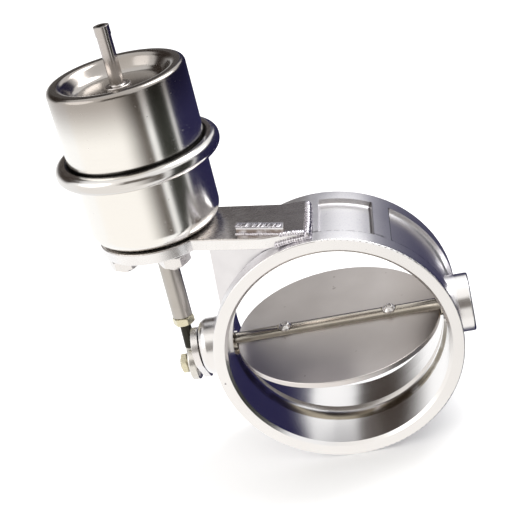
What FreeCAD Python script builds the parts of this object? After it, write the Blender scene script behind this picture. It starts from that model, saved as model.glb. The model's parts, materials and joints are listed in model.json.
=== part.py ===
import FreeCAD, Part
import math
import os
import Sketcher

from FreeCAD import Placement, Rotation, Vector

# Exhaust cutout valve, in millimetres.
# X runs along the shaft, Y along the gas path away from the inlet face, Z up.
# The origin is the centre of the inlet face, on the bore's axis.

SIZES = {
    # Valve housing: a cast ring that takes a 3 in (76.2 mm) pipe in each mouth
    "pipe_radius": 38.25,
    "socket_wall": 5.0,
    "housing_depth": 39.0,
    "rim_round": 0.5,
    "mouth_chamfer": 1.0,
    "deep_socket": 16.6,
    "shallow_socket": 12.0,
    "socket_taper": 1.4,
    "throat_step": 0.85,
    "ledge_spread": 0.2,
    "ledge_rise": 1.4,
    "seat_gap": 0.3,
    "cutter_reach": 1.0,
    # Cast pockets round the ring, between a front and a rear band
    "front_band": 7.0,
    "rear_band": 6.5,
    "pocket_depth": 2.05,
    "pocket_round": 1.0,
    "weld_rib_start_angle": -2.5,
    "weld_rib_end_angle": 2.2,
    "top_rib_start_angle": 27.0,
    "top_rib_end_angle": 35.5,
    # Shaft bosses, measured out from the rim
    "boss_radius": 10.3,
    "left_boss_reach": 6.45,
    "right_boss_reach": 4.65,
    "left_boss_round": 3.0,
    "right_boss_round": 0.8,
    # Shaft, bushes, seal and plug
    "shaft_radius": 3.2,
    "shaft_bevel": 0.4,
    "running_gap": 0.05,
    "press_gap": 0.02,
    "bush_wall": 1.4,
    "bush_setback": 1.0,
    "counterbore_wall": 1.53,
    "seal_pocket_depth": 3.1,
    "seal_width": 2.3,
    "seal_gap": 0.12,
    "washer_thick": 0.8,
    "plug_thick": 1.6,
    "plug_recess": 0.3,
    "plug_rim": 1.0,
    "shaft_end_gap": 1.2,
    # Disc and its screws
    "disc_gap": 0.8,
    "disc_thick": 2.0,
    "disc_round": 0.3,
    "rest_tilt_angle": 3.0,
    "slot_end_gap": 0.2,
    "screw_offset": 18.8,
    "screw_radius": 1.5,
    "screw_gap": 0.1,
    "screw_head_radius": 2.5,
    "screw_head_height": 2.0,
    "screw_setback": 0.4,
    "screw_socket": 2.2,
    "screw_socket_depth": 1.0,
    "spot_face_depth": 1.0,
    "spot_face_gap": 0.2,
    # Lever and its pin
    "lever_gap": 0.5,
    "lever_thick": 2.5,
    "lever_boss_wall": 4.4,
    "lever_tip_wall": 3.9,
    "crank": 10.9,
    "crank_angle": -56.0,
    "shaft_flat": 2.5,
    "shaft_rivet": 0.8,
    "pin_root_radius": 2.5,
    "pin_collar_radius": 3.4,
    "pin_collar_height": 0.4,
    "pin_radius": 2.0,
    "pin_nut_across": 7.0,
    "pin_nut_height": 2.2,
    "pin_thread_over": 0.6,
    # Rod end
    "eye_wall": 2.7,
    "eye_thick": 3.0,
    "eye_round": 0.6,
    "ball_radius": 4.0,
    "ball_width": 5.0,
    "neck_foot_radius": 2.2,
    "neck_top_radius": 2.0,
    "neck_length": 9.7,
    "thread_radius": 1.75,
    "thread_length": 11.0,
    # Lock nut and rod
    "lock_nut_across": 7.0,
    "lock_nut_height": 3.0,
    "rod_radius": 3.6,
    "rod_bevel": 0.4,
    "rod_tip_radius": 2.5,
    "rod_lean_angle": -2.94,
    # Bracket plate: it sits in a flat milled on the ring
    "plate_sink": 1.45,
    "plate_thick": 4.2,
    "plate_end": -2.3,
    "plate_front": 3.7,
    "plate_rear_margin": 11.1,
    "front_bend": -17.5,
    "rear_bend": -9.5,
    "plate_bend_round": 9.0,
    "plate_head_margin": 1.9,
    "front_join_across": 13.0,
    "front_join_back": 16.7,
    "rear_join_across": 19.3,
    "rear_join_back": 8.2,
    "plate_edge_round": 0.4,
    "rod_hole_gap": 3.0,
    # Upright web under the plate
    "web_right": -9.2,
    "web_front": 3.9,
    "web_angle": 22.0,
    "web_thick": 4.3,
    "web_top_margin": 12.95,
    "web_tab_length": 16.6,
    "web_tab_rise": 2.2,
    "web_foot_margin": 9.75,
    "weld_gap": 0.05,
    # Actuator cans, stacked up from the plate
    "can_wall": 1.0,
    "lower_can_step": 0.8,
    "lower_can_round": 6.0,
    "lower_can_height": 28.5,
    "upper_can_radius": 24.2,
    "upper_can_height": 29.6,
    "can_rim_round": 1.8,
    "dish_depth": 5.1,
    "dish_rim_width": 4.8,
    "dish_slope_width": 3.8,
    "dish_rim_round": 3.0,
    "dish_foot_round": 4.0,
    "flange_width": 3.5,
    "flange_bend": 1.0,
    "diaphragm_thick": 1.2,
    "crimp_gap": 0.9,
    "crimp_height": 5.6,
    "crimp_round": 2.5,
    "crimp_wall": 1.0,
    "crimp_lip_width": 3.8,
    # Studs and nuts
    "stud_radius": 3.0,
    "stud_across": 19.0,
    "stud_deep": 25.8,
    "stud_angle": -15.0,
    "stud_over": 1.3,
    "stud_hole_gap": 0.3,
    "stud_nut_across": 10.0,
    "stud_nut_height": 3.9,
    # Inside the can
    "piston_drop": 13.5,
    "soft_gap": 0.3,
    "retainer_radius": 14.0,
    "retainer_thick": 1.2,
    "retainer_round": 0.5,
    "cup_radius": 14.8,
    "cup_height": 5.0,
    "cup_round": 1.8,
    "convolution_foot": 17.0,
    "convolution_head": 21.2,
    "convolution_round": 1.6,
    "piston_nut_across": 8.0,
    "piston_nut_height": 4.0,
    "piston_hole_gap": 0.4,
    "rod_tip_over": 1.2,
    "spring_wire_radius": 1.0,
    "spring_radius": 11.0,
    "spring_turns": 6.0,
    # Vacuum nipple
    "nipple_radius": 2.5,
    "nipple_bore": 1.5,
    "nipple_height": 16.6,
    "nipple_flange_width": 2.1,
    "nipple_flange_thick": 1.0,
    "nipple_flange_round": 0.4,
    "nipple_foot_round": 0.6,
    "nipple_lip_width": 0.9,
    "nipple_lip_thick": 0.8,
    "collar_rise": 0.2,
    "collar_height": 3.3,
    "collar_round": 0.1,
}

doc = FreeCAD.newDocument("ExhaustCutoutValve")
sheet = doc.addObject("Spreadsheet::Sheet", "sizes")
for row, (alias, number) in enumerate(SIZES.items(), start=1):
    sheet.set(f"A{row}", alias)
    sheet.set(f"B{row}", str(number))
    sheet.setAlias(f"B{row}", alias)
doc.recompute()


class Size:
    """A length or angle as a number, with the formula that ties it to the sheet."""

    def __init__(self, value, formula):
        self.value = value
        self.formula = formula

    def __add__(self, other):
        other = as_size(other)
        return Size(self.value + other.value, f"({self.formula} + {other.formula})")

    def __sub__(self, other):
        other = as_size(other)
        return Size(self.value - other.value, f"({self.formula} - {other.formula})")

    def __mul__(self, other):
        other = as_size(other)
        return Size(self.value * other.value, f"({self.formula} * {other.formula})")

    def __truediv__(self, other):
        other = as_size(other)
        return Size(self.value / other.value, f"({self.formula} / {other.formula})")

    def __radd__(self, other):
        return as_size(other) + self

    def __rsub__(self, other):
        return as_size(other) - self

    def __rmul__(self, other):
        return as_size(other) * self

    def __neg__(self):
        return as_size(0) - self


def as_size(number):
    return number if isinstance(number, Size) else Size(float(number), f"({float(number)})")


def root(size):
    return Size(math.sqrt(size.value), f"sqrt({size.formula})")


def sine(angle):
    return Size(math.sin(math.radians(angle.value)), f"sin({angle.formula})")


def cosine(angle):
    return Size(math.cos(math.radians(angle.value)), f"cos({angle.formula})")


class Names:
    """Every size of the sheet as an attribute, such as s.rim_radius."""

    def __init__(self, names):
        for name in names:
            setattr(self, name, Size(float(sheet.get(name)), f"sizes.{name}"))


s = Names(SIZES)

# Housing and seat
half_depth = s.housing_depth / 2
shaft_y = half_depth
rim_radius = s.pipe_radius + s.socket_wall
throat_radius = s.pipe_radius - s.throat_step
ledge_radius = throat_radius + s.ledge_spread
disc_radius = throat_radius - s.disc_gap
seat_y = s.disc_thick / 2 + s.seat_gap
left_boss = rim_radius + s.left_boss_reach
right_boss = rim_radius + s.right_boss_reach
bush_outer = s.shaft_radius + s.running_gap + s.bush_wall
counterbore = bush_outer + s.counterbore_wall
seal_floor = left_boss - s.seal_pocket_depth
plug_floor = right_boss - s.plug_recess - s.plug_thick

# Lever, pin and rod
lever_inner = left_boss + s.lever_gap
lever_outer = lever_inner + s.lever_thick
ball_inner = -lever_outer - s.pin_collar_height
eye_x = ball_inner - s.ball_width / 2
ball_outer = ball_inner - s.ball_width
pin_y = shaft_y + s.crank * cosine(s.crank_angle)
pin_z = s.crank * sine(s.crank_angle)
eye_radius = s.ball_radius + s.eye_wall
neck_top = eye_radius + s.neck_length
rod_start = neck_top + s.lock_nut_height

# Bracket and actuator: the can's axis is where the leaning rod meets the piston
plate_under = rim_radius - s.plate_sink
plate_top = plate_under + s.plate_thick
flange_middle = plate_top + s.lower_can_height
can_top = flange_middle + s.upper_can_height
piston_level = flange_middle - s.piston_drop
can_x = eye_x
can_y = pin_y - (piston_level - pin_z) * sine(s.rod_lean_angle) / cosine(s.rod_lean_angle)
plate_rear = s.housing_depth - s.plate_rear_margin
web_length = rim_radius - s.web_top_margin
web_foot_length = rim_radius - s.web_foot_margin
rod_hole = s.rod_radius + s.rod_hole_gap
lower_can_radius = s.upper_can_radius - s.lower_can_step
flange_radius = s.upper_can_radius + s.flange_width - s.can_wall / 2
crimp_radius = flange_radius + s.crimp_gap + s.crimp_wall
lower_flange_top = flange_middle - s.diaphragm_thick / 2
upper_flange_under = flange_middle + s.diaphragm_thick / 2
can_ceiling = can_top - s.dish_depth - s.can_wall

# Piston stack
retainer_top = piston_level - s.diaphragm_thick / 2 - s.soft_gap
cup_floor = piston_level + s.diaphragm_thick / 2 + s.soft_gap
piston_nut_foot = cup_floor + s.can_wall
rod_shoulder = retainer_top - s.retainer_thick - s.soft_gap - pin_z
rod_tip = piston_nut_foot + s.piston_nut_height + s.rod_tip_over - pin_z
piston_hole = s.rod_tip_radius + s.piston_hole_gap


def bind(thing, path, size):
    thing.setExpression(path, as_size(size).formula)


def new_body(label, x=0, y=0, z=0, axis=None, turn=None):
    """An empty body with its label and its place; turn is about axis."""
    body = doc.addObject("PartDesign::Body", label)
    body.Label = label
    places = [as_size(value) for value in (x, y, z)]
    spin = Rotation(axis, as_size(turn).value) if axis else Rotation()
    body.Placement = Placement(Vector(*[place.value for place in places]), spin)
    for letter, place in zip("xyz", places):
        bind(body, f"Placement.Base.{letter}", place)
    if axis:
        bind(body, "Placement.Rotation.Angle", turn)
    return body


def origin_part(body, role):
    return next(item for item in body.Origin.OriginFeatures if item.Role == role)


def new_sketch(body, name, plane, x=0, y=0, z=0, axis=None, turn=None):
    """A sketch on one of the body's origin planes, moved and turned in the plane's own axes."""
    sketch = body.newObject("Sketcher::SketchObject", f"{body.Label}_{name}")
    sketch.AttachmentSupport = [(origin_part(body, plane), "")]
    sketch.MapMode = "FlatFace"
    places = [as_size(value) for value in (x, y, z)]
    spin = Rotation(axis, as_size(turn).value) if axis else Rotation()
    sketch.AttachmentOffset = Placement(Vector(*[place.value for place in places]), spin)
    for letter, place in zip("xyz", places):
        bind(sketch, f"AttachmentOffset.Base.{letter}", place)
    if axis:
        bind(sketch, "AttachmentOffset.Rotation.Angle", turn)
    return sketch


def constrain(sketch, *facts, size=None):
    """Adds one constraint; with a size, it is a dimension tied to the sheet."""
    if size is None:
        return sketch.addConstraint(Sketcher.Constraint(*facts))
    index = sketch.addConstraint(Sketcher.Constraint(*facts, as_size(size).value))
    bind(sketch, f"Constraints[{index}]", size)
    return index


def pin_point(sketch, geometry, vertex, across, up):
    constrain(sketch, "DistanceX", -1, 1, geometry, vertex, size=across)
    constrain(sketch, "DistanceY", -1, 1, geometry, vertex, size=up)


def circle(sketch, radius, across=0, up=0):
    centre = Vector(as_size(across).value, as_size(up).value, 0)
    ring = sketch.addGeometry(Part.Circle(centre, Vector(0, 0, 1), as_size(radius).value), False)
    constrain(sketch, "Radius", ring, size=radius)
    pin_point(sketch, ring, 3, across, up)


def outline(sketch, corners):
    """A closed outline; a corner is (across, up), or (across, up, radius) where it is rounded."""
    count = len(corners)
    places = [(as_size(corner[0]), as_size(corner[1])) for corner in corners]
    radii = [as_size(corner[2]) if len(corner) > 2 else None for corner in corners]
    spots = [Vector(across.value, up.value, 0) for across, up in places]
    enter, leave, arcs = list(spots), list(spots), [None] * count
    for i, radius in enumerate(radii):
        if radius is None:
            continue
        back = (spots[i - 1] - spots[i]).normalize()
        ahead = (spots[(i + 1) % count] - spots[i]).normalize()
        half = back.getAngle(ahead) / 2
        enter[i] = spots[i] + back * (radius.value / math.tan(half))
        leave[i] = spots[i] + ahead * (radius.value / math.tan(half))
        centre = spots[i] + (back + ahead).normalize() * (radius.value / math.sin(half))
        left_turn = ahead.cross(back).z > 0
        first, last = (enter[i], leave[i]) if left_turn else (leave[i], enter[i])
        start = math.atan2(first.y - centre.y, first.x - centre.x)
        end = math.atan2(last.y - centre.y, last.x - centre.x)
        if end < start:
            end += 2 * math.pi
        bow = Part.ArcOfCircle(Part.Circle(centre, Vector(0, 0, 1), radius.value), start, end)
        arcs[i] = (sketch.addGeometry(bow, False), 1 if left_turn else 2, 2 if left_turn else 1)
    lines = []
    for i in range(count):
        lines.append(sketch.addGeometry(Part.LineSegment(leave[i], enter[(i + 1) % count]), False))
    for i, radius in enumerate(radii):
        if radius is None:
            constrain(sketch, "Coincident", lines[i - 1], 2, lines[i], 1)
            pin_point(sketch, lines[i], 1, *places[i])
            continue
        corner = sketch.addGeometry(Part.Point(spots[i]), True)
        pin_point(sketch, corner, 1, *places[i])
        constrain(sketch, "PointOnObject", corner, 1, lines[i - 1])
        constrain(sketch, "PointOnObject", corner, 1, lines[i])
        bow, bow_enter, bow_leave = arcs[i]
        constrain(sketch, "Tangent", lines[i - 1], 2, bow, bow_enter)
        constrain(sketch, "Tangent", bow, bow_leave, lines[i], 1)
        constrain(sketch, "Radius", bow, size=radius)


def hexagon(sketch, across_flats, across=0, up=0):
    """A regular hexagon with two flats level."""
    corner = across_flats / (2 * math.cos(math.pi / 6))
    corners = []
    for step in range(6):
        angle = math.radians(60 * step)
        corners.append((across + corner * math.cos(angle), up + corner * math.sin(angle)))
    outline(sketch, corners)


def stadium_link(sketch, big_radius, small_radius, distance):
    """The outline of a lever: a large and a small round joined by two tangent lines."""
    big, small, far = big_radius.value, small_radius.value, distance.value
    spread = math.acos((big - small) / far)
    centre, tip = Vector(0, 0, 0), Vector(far, 0, 0)

    def around(middle, radius, angle):
        return middle + Vector(math.cos(angle), math.sin(angle), 0) * radius

    up_axis = Vector(0, 0, 1)
    bow = Part.ArcOfCircle(Part.Circle(centre, up_axis, big), spread, 2 * math.pi - spread)
    nose = Part.ArcOfCircle(Part.Circle(tip, up_axis, small), -spread, spread)
    upper = Part.LineSegment(around(tip, small, spread), around(centre, big, spread))
    lower = Part.LineSegment(around(centre, big, -spread), around(tip, small, -spread))
    bow, nose, upper, lower = [sketch.addGeometry(item, False) for item in (bow, nose, upper, lower)]
    constrain(sketch, "Tangent", nose, 2, upper, 1)
    constrain(sketch, "Tangent", upper, 2, bow, 1)
    constrain(sketch, "Tangent", bow, 2, lower, 1)
    constrain(sketch, "Tangent", lower, 2, nose, 1)
    constrain(sketch, "Radius", bow, size=big_radius)
    constrain(sketch, "Radius", nose, size=small_radius)
    constrain(sketch, "Coincident", bow, 3, -1, 1)
    pin_point(sketch, nose, 3, distance, 0)


def two_flats(sketch, radius, flat):
    """A round with two flats, each at the distance flat from the centre."""
    reach = math.sqrt(radius.value**2 - flat.value**2)
    rise = math.asin(flat.value / radius.value)
    round_edge = Part.Circle(Vector(0, 0, 0), Vector(0, 0, 1), radius.value)
    right = sketch.addGeometry(Part.ArcOfCircle(round_edge, -rise, rise), False)
    left = sketch.addGeometry(Part.ArcOfCircle(round_edge, math.pi - rise, math.pi + rise), False)
    corners = [Vector(reach, flat.value, 0), Vector(-reach, flat.value, 0)]
    top = sketch.addGeometry(Part.LineSegment(*corners), False)
    corners = [Vector(-reach, -flat.value, 0), Vector(reach, -flat.value, 0)]
    bottom = sketch.addGeometry(Part.LineSegment(*corners), False)
    ring = [right, top, left, bottom]
    for one, two in zip(ring, ring[1:] + ring[:1]):
        constrain(sketch, "Coincident", one, 2, two, 1)
    for bow in (right, left):
        constrain(sketch, "Coincident", bow, 3, -1, 1)
    constrain(sketch, "Radius", right, size=radius)
    for line, height in ((top, flat), (bottom, -flat)):
        constrain(sketch, "Horizontal", line)
        constrain(sketch, "DistanceY", -1, 1, line, 1, size=height)


def half_round(sketch, radius):
    """A half disc above the sketch's level axis, to be turned into a ball."""
    edge = Part.Circle(Vector(0, 0, 0), Vector(0, 0, 1), radius.value)
    bow = sketch.addGeometry(Part.ArcOfCircle(edge, 0, math.pi), False)
    ends = [Vector(-radius.value, 0, 0), Vector(radius.value, 0, 0)]
    chord = sketch.addGeometry(Part.LineSegment(*ends), False)
    constrain(sketch, "Coincident", bow, 3, -1, 1)
    constrain(sketch, "Coincident", bow, 2, chord, 1)
    constrain(sketch, "Coincident", chord, 2, bow, 1)
    constrain(sketch, "PointOnObject", bow, 1, -1)
    constrain(sketch, "PointOnObject", bow, 2, -1)
    constrain(sketch, "Radius", bow, size=radius)


def pad(body, name, sketch, length, backwards=False, both_ways=False):
    feature = body.newObject("PartDesign::Pad", f"{body.Label}_{name}")
    feature.Profile = sketch
    feature.Reversed = backwards
    feature.SideType = "Symmetric" if both_ways else "One side"
    bind(feature, "Length", length)
    return feature


def pocket(body, name, sketch, length, backwards=False, both_ways=False):
    """Cuts against the sketch's normal, or along it when backwards is set."""
    feature = body.newObject("PartDesign::Pocket", f"{body.Label}_{name}")
    feature.Profile = sketch
    feature.Reversed = backwards
    feature.SideType = "Symmetric" if both_ways else "One side"
    bind(feature, "Length", length)
    return feature


def revolve(body, name, sketch, axis, kind="Revolution", angle=360, both_ways=False):
    feature = body.newObject(f"PartDesign::{kind}", f"{body.Label}_{name}")
    feature.Profile = sketch
    feature.ReferenceAxis = (sketch, [axis])
    feature.Midplane = both_ways
    bind(feature, "Angle", angle)
    return feature


def turned_x(body, name, corners, kind="Revolution"):
    """Turned about the body's X axis: corners are (along X, radius)."""
    sketch = new_sketch(body, f"{name}_section", "XY_Plane")
    outline(sketch, corners)
    return revolve(body, name, sketch, "H_Axis", kind)


def turned_z(body, name, corners, kind="Revolution"):
    """Turned about the body's Z axis: corners are (radius, height)."""
    sketch = new_sketch(body, f"{name}_section", "XZ_Plane")
    outline(sketch, corners)
    return revolve(body, name, sketch, "V_Axis", kind)


def soften(body, feature, name, radius, keep=None):
    """Rounds the level edges of the feature's top and underside."""
    doc.recompute()
    box = feature.Shape.BoundBox
    chosen = []
    for number, edge in enumerate(feature.Shape.Edges, start=1):
        heights = [vertex.Z for vertex in edge.Vertexes] + [edge.CenterOfMass.z]
        for level in (box.ZMin, box.ZMax):
            if max(abs(height - level) for height in heights) < 1e-6:
                chosen.append(f"Edge{number}")
    rounds = body.newObject("PartDesign::Fillet", f"{body.Label}_{name}")
    rounds.Base = (feature, chosen)
    bind(rounds, "Radius", radius)
    return rounds


def hex_nut(body, name, across_flats, foot, height, hole, across=0, up=0):
    """A hexagon nut with coned corners: a coned blank, trimmed to six flats, then drilled."""
    corner = across_flats / (2 * math.cos(math.pi / 6))
    cone = corner - across_flats * 0.475
    drop = cone * math.tan(math.pi / 6)
    blank = new_sketch(body, f"{name}_blank", "XZ_Plane", x=across, z=-as_size(up))
    flat = corner - cone
    top = foot + height
    outline(blank, [(0, foot), (flat, foot), (corner, foot + drop), (corner, top - drop), (flat, top), (0, top)])
    revolve(body, f"{name}_turned", blank, "V_Axis")
    flats = new_sketch(body, f"{name}_flats", "XY_Plane", z=top)
    circle(flats, corner + s.cutter_reach, across, up)
    hexagon(flats, across_flats, as_size(across), as_size(up))
    pocket(body, f"{name}_trim", flats, height)
    drilled = new_sketch(body, f"{name}_hole", "XY_Plane", z=top)
    circle(drilled, hole, across, up)
    return pocket(body, f"{name}_bore", drilled, height)


X_AXIS = Vector(1, 0, 0)
Y_AXIS = Vector(0, 1, 0)
Z_AXIS = Vector(0, 0, 1)


def make_valve_housing():
    """Cast ring. Its own origin is on the shaft axis, so one half of the seat turns onto the other."""
    body = new_body("valve_housing", y=shaft_y)
    section = new_sketch(body, "ring_section", "XY_Plane")
    outline(section, [(0, -half_depth), (rim_radius, -half_depth, s.rim_round),
                      (rim_radius, half_depth, s.rim_round), (0, half_depth)])
    revolve(body, "ring", section, "V_Axis")

    # Pockets between the bands: angles run from the top, positive to the right
    floor = rim_radius - s.pocket_depth
    outside = rim_radius + s.cutter_reach
    front, rear = s.front_band - half_depth, half_depth - s.rear_band
    spans = {
        "left_pocket": (Size(-90.0, "(-90)"), 180 + 2 * s.weld_rib_start_angle),
        "right_pocket": (Size(90.0, "90"), 180 - 2 * s.top_rib_end_angle),
        "top_pocket": ((s.weld_rib_end_angle + s.top_rib_start_angle) / 2, s.top_rib_start_angle - s.weld_rib_end_angle),
    }
    for name, (middle, span) in spans.items():
        sketch = new_sketch(body, f"{name}_section", "XY_Plane", axis=Y_AXIS, turn=middle - 90)
        outline(sketch, [(floor, front, s.pocket_round), (outside, front), (outside, rear),
                         (floor, rear, s.pocket_round)])
        groove = revolve(body, name, sketch, "V_Axis", "Groove", span, both_ways=True)
    below = body.newObject("PartDesign::Mirrored", "valve_housing_bottom_pocket")
    below.Originals = [groove]
    below.MirrorPlane = (origin_part(body, "XY_Plane"), [""])
    body.Tip = below

    turned_x(body, "bosses", [
        (-left_boss, 0), (-left_boss, s.boss_radius, s.left_boss_round),
        (right_boss, s.boss_radius, s.right_boss_round), (right_boss, 0)])

    # Flat milled on the ring for the bracket plate
    mill = new_sketch(body, "plate_flat", "XY_Plane", z=plate_under)
    outline(mill, [(s.plate_end, s.plate_front - shaft_y), (s.plate_end, plate_rear - shaft_y),
                   (s.plate_end - s.boss_radius, plate_rear - shaft_y),
                   (s.plate_end - s.boss_radius, s.plate_front - shaft_y)])
    pocket(body, "plate_seat", mill, s.pocket_depth + rim_radius - plate_under, backwards=True)

    # Stepped bore: a core, then one half of the sockets and ledge, turned over for the other half
    core_radius = throat_radius - s.socket_wall
    inner = core_radius - s.cutter_reach
    core = new_sketch(body, "core_circle", "XZ_Plane")
    circle(core, core_radius)
    pocket(body, "core", core, s.housing_depth * 2, both_ways=True)
    mouth = s.pipe_radius + s.mouth_chamfer
    reach = s.cutter_reach
    steps = new_sketch(body, "socket_section", "XY_Plane", axis=Y_AXIS, turn=90)
    outline(steps, [
        (inner, -half_depth - reach), (mouth + reach, -half_depth - reach), (s.pipe_radius, s.mouth_chamfer - half_depth),
        (s.pipe_radius, s.deep_socket - half_depth),
        (throat_radius, s.deep_socket + s.socket_taper - half_depth),
        (throat_radius, seat_y), (inner, seat_y)])
    outline(steps, [
        (inner, half_depth + reach), (inner, half_depth - s.shallow_socket),
        (s.pipe_radius, half_depth - s.shallow_socket), (s.pipe_radius, half_depth - s.mouth_chamfer),
        (mouth + reach, half_depth + reach)])
    sockets = revolve(body, "lower_sockets", steps, "V_Axis", "Groove", 180, both_ways=True)
    ledge = new_sketch(body, "ledge_edge", "XZ_Plane", z=-seat_y)
    half_chord = root(ledge_radius * ledge_radius - s.ledge_rise * s.ledge_rise).value
    lift = math.asin(s.ledge_rise.value / ledge_radius.value)
    bow = Part.Circle(Vector(0, s.ledge_rise.value, 0), Z_AXIS, ledge_radius.value)
    bow = ledge.addGeometry(Part.ArcOfCircle(bow, math.pi + lift, 2 * math.pi - lift), False)
    chord = ledge.addGeometry(Part.LineSegment(Vector(half_chord, 0, 0), Vector(-half_chord, 0, 0)), False)
    constrain(ledge, "Coincident", bow, 2, chord, 1)
    constrain(ledge, "Coincident", chord, 2, bow, 1)
    constrain(ledge, "Horizontal", chord)
    constrain(ledge, "PointOnObject", bow, 1, -1)
    constrain(ledge, "Radius", bow, size=ledge_radius)
    pin_point(ledge, bow, 3, 0, s.ledge_rise)
    crescent = pocket(body, "lower_ledge", ledge, half_depth - s.shallow_socket - seat_y)
    turned_half = body.newObject("PartDesign::PolarPattern", "valve_housing_upper_half")
    turned_half.Originals = [sockets, crescent]
    turned_half.Axis = (origin_part(body, "X_Axis"), [""])
    turned_half.Angle = 360
    turned_half.Occurrences = 2
    body.Tip = turned_half

    # Bores for bushes, seal and end plug
    bush_bore = bush_outer + s.press_gap
    left_out, right_out = -left_boss - reach, right_boss + reach
    turned_x(body, "shaft_bores", [
        (left_out, 0), (left_out, counterbore), (-seal_floor, counterbore),
        (-seal_floor, bush_bore), (plug_floor, bush_bore), (plug_floor, counterbore),
        (right_out, counterbore), (right_out, 0)], "Groove")
    return body


def make_shaft_pieces():
    """Bushes, seal, washer and plug: rings about the shaft axis, each (from, to, inner, outer)."""
    bush_inner = s.shaft_radius + s.running_gap
    bush_inner_end = throat_radius + s.bush_setback
    seal_end = seal_floor + s.seal_width
    washer_inner = s.shaft_radius + s.seal_gap
    loose = counterbore - s.press_gap
    rings = {
        "shaft_bush_left": (-seal_floor, -bush_inner_end, bush_inner, bush_outer),
        "shaft_bush_right": (bush_inner_end, plug_floor - s.press_gap, bush_inner, bush_outer),
        "shaft_seal": (-seal_end, -seal_floor - s.press_gap, s.shaft_radius + s.seal_gap, loose),
        "thrust_washer": (-seal_end - s.press_gap - s.washer_thick, -seal_end - s.press_gap, washer_inner,
                          loose - s.seal_gap),
    }
    for label, (start, end, inner, outer) in rings.items():
        body = new_body(label, y=shaft_y)
        turned_x(body, "ring", [(start, inner), (end, inner), (end, outer), (start, outer)])
    plug = new_body("shaft_end_plug", y=shaft_y)
    face = right_boss - s.plug_recess
    dish = s.plug_thick / 2
    foot = plug_floor + s.press_gap
    turned_x(plug, "disc", [
        (foot, 0), (foot, loose), (face, loose), (face, loose - s.plug_rim), (face - dish, loose - s.plug_rim - dish),
        (face - dish, 0)])


def make_butterfly():
    """Slotted shaft, disc and screws, in a frame that leans by the rest tilt."""
    lean = {"y": shaft_y, "axis": X_AXIS, "turn": s.rest_tilt_angle}
    shaft = new_body("valve_shaft", **lean)
    left, right = lever_outer + s.shaft_rivet, plug_floor - s.shaft_end_gap
    bevel = s.shaft_bevel
    turned_x(shaft, "bar", [
        (-left, 0), (-left, s.shaft_radius - bevel), (bevel - left, s.shaft_radius),
        (right - bevel, s.shaft_radius), (right, s.shaft_radius - bevel), (right, 0)])
    slot_half = disc_radius + s.slot_end_gap
    slot = new_sketch(shaft, "slot_edge", "XZ_Plane")
    gap = s.disc_thick / 2 + s.press_gap
    outline(slot, [(-slot_half, -gap), (slot_half, -gap), (slot_half, gap), (-slot_half, gap)])
    pocket(shaft, "slot", slot, s.boss_radius, both_ways=True)
    spots = new_sketch(shaft, "spot_circles", "XY_Plane", z=s.shaft_radius)
    holes = new_sketch(shaft, "screw_circles", "XY_Plane", z=s.shaft_radius)
    for side in (-1, 1):
        circle(spots, s.screw_head_radius + s.spot_face_gap, side * s.screw_offset, 0)
        circle(holes, s.screw_radius + s.screw_gap, side * s.screw_offset, 0)
    pocket(shaft, "spot_faces", spots, s.spot_face_depth)
    pocket(shaft, "screw_holes", holes, s.shaft_radius * 2)
    flats = new_sketch(shaft, "flats_edge", "YZ_Plane", z=-lever_inner)
    circle(flats, s.shaft_radius + s.cutter_reach)
    two_flats(flats, s.shaft_radius + s.cutter_reach / 2, s.shaft_flat)
    pocket(shaft, "end_flats", flats, s.lever_thick + s.shaft_rivet + s.cutter_reach)

    disc = new_body("butterfly_disc", **lean)
    half = s.disc_thick / 2
    turned_z(disc, "plate", [(0, -half), (disc_radius, -half, s.disc_round),
                             (disc_radius, half, s.disc_round), (0, half)])
    holes = new_sketch(disc, "screw_circles", "XY_Plane", z=half)
    for side in (-1, 1):
        circle(holes, s.screw_radius + s.screw_gap, side * s.screw_offset, 0)
    pocket(disc, "screw_holes", holes, s.disc_thick)

    screws = new_body("disc_screws", **lean)
    seat = s.shaft_radius - s.spot_face_depth
    top = seat + s.screw_head_height
    for name, side in (("left", -1), ("right", 1)):
        sketch = new_sketch(screws, f"{name}_section", "XZ_Plane", x=side * s.screw_offset)
        outline(sketch, [
            (0, s.screw_setback - s.shaft_radius), (s.screw_radius, s.screw_setback - s.shaft_radius),
            (s.screw_radius, seat), (s.screw_head_radius, seat),
            (s.screw_head_radius, seat + s.screw_head_height / 3),
            (s.screw_head_radius * 0.62, top - s.screw_head_height / 10, s.screw_head_height * 0.3), (0, top)])
        revolve(screws, name, sketch, "V_Axis")
    sockets = new_sketch(screws, "socket_edges", "XY_Plane", z=top)
    for side in (-1, 1):
        hexagon(sockets, s.screw_socket, side * s.screw_offset, as_size(0))
    pocket(screws, "sockets", sockets, s.screw_socket_depth)


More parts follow.
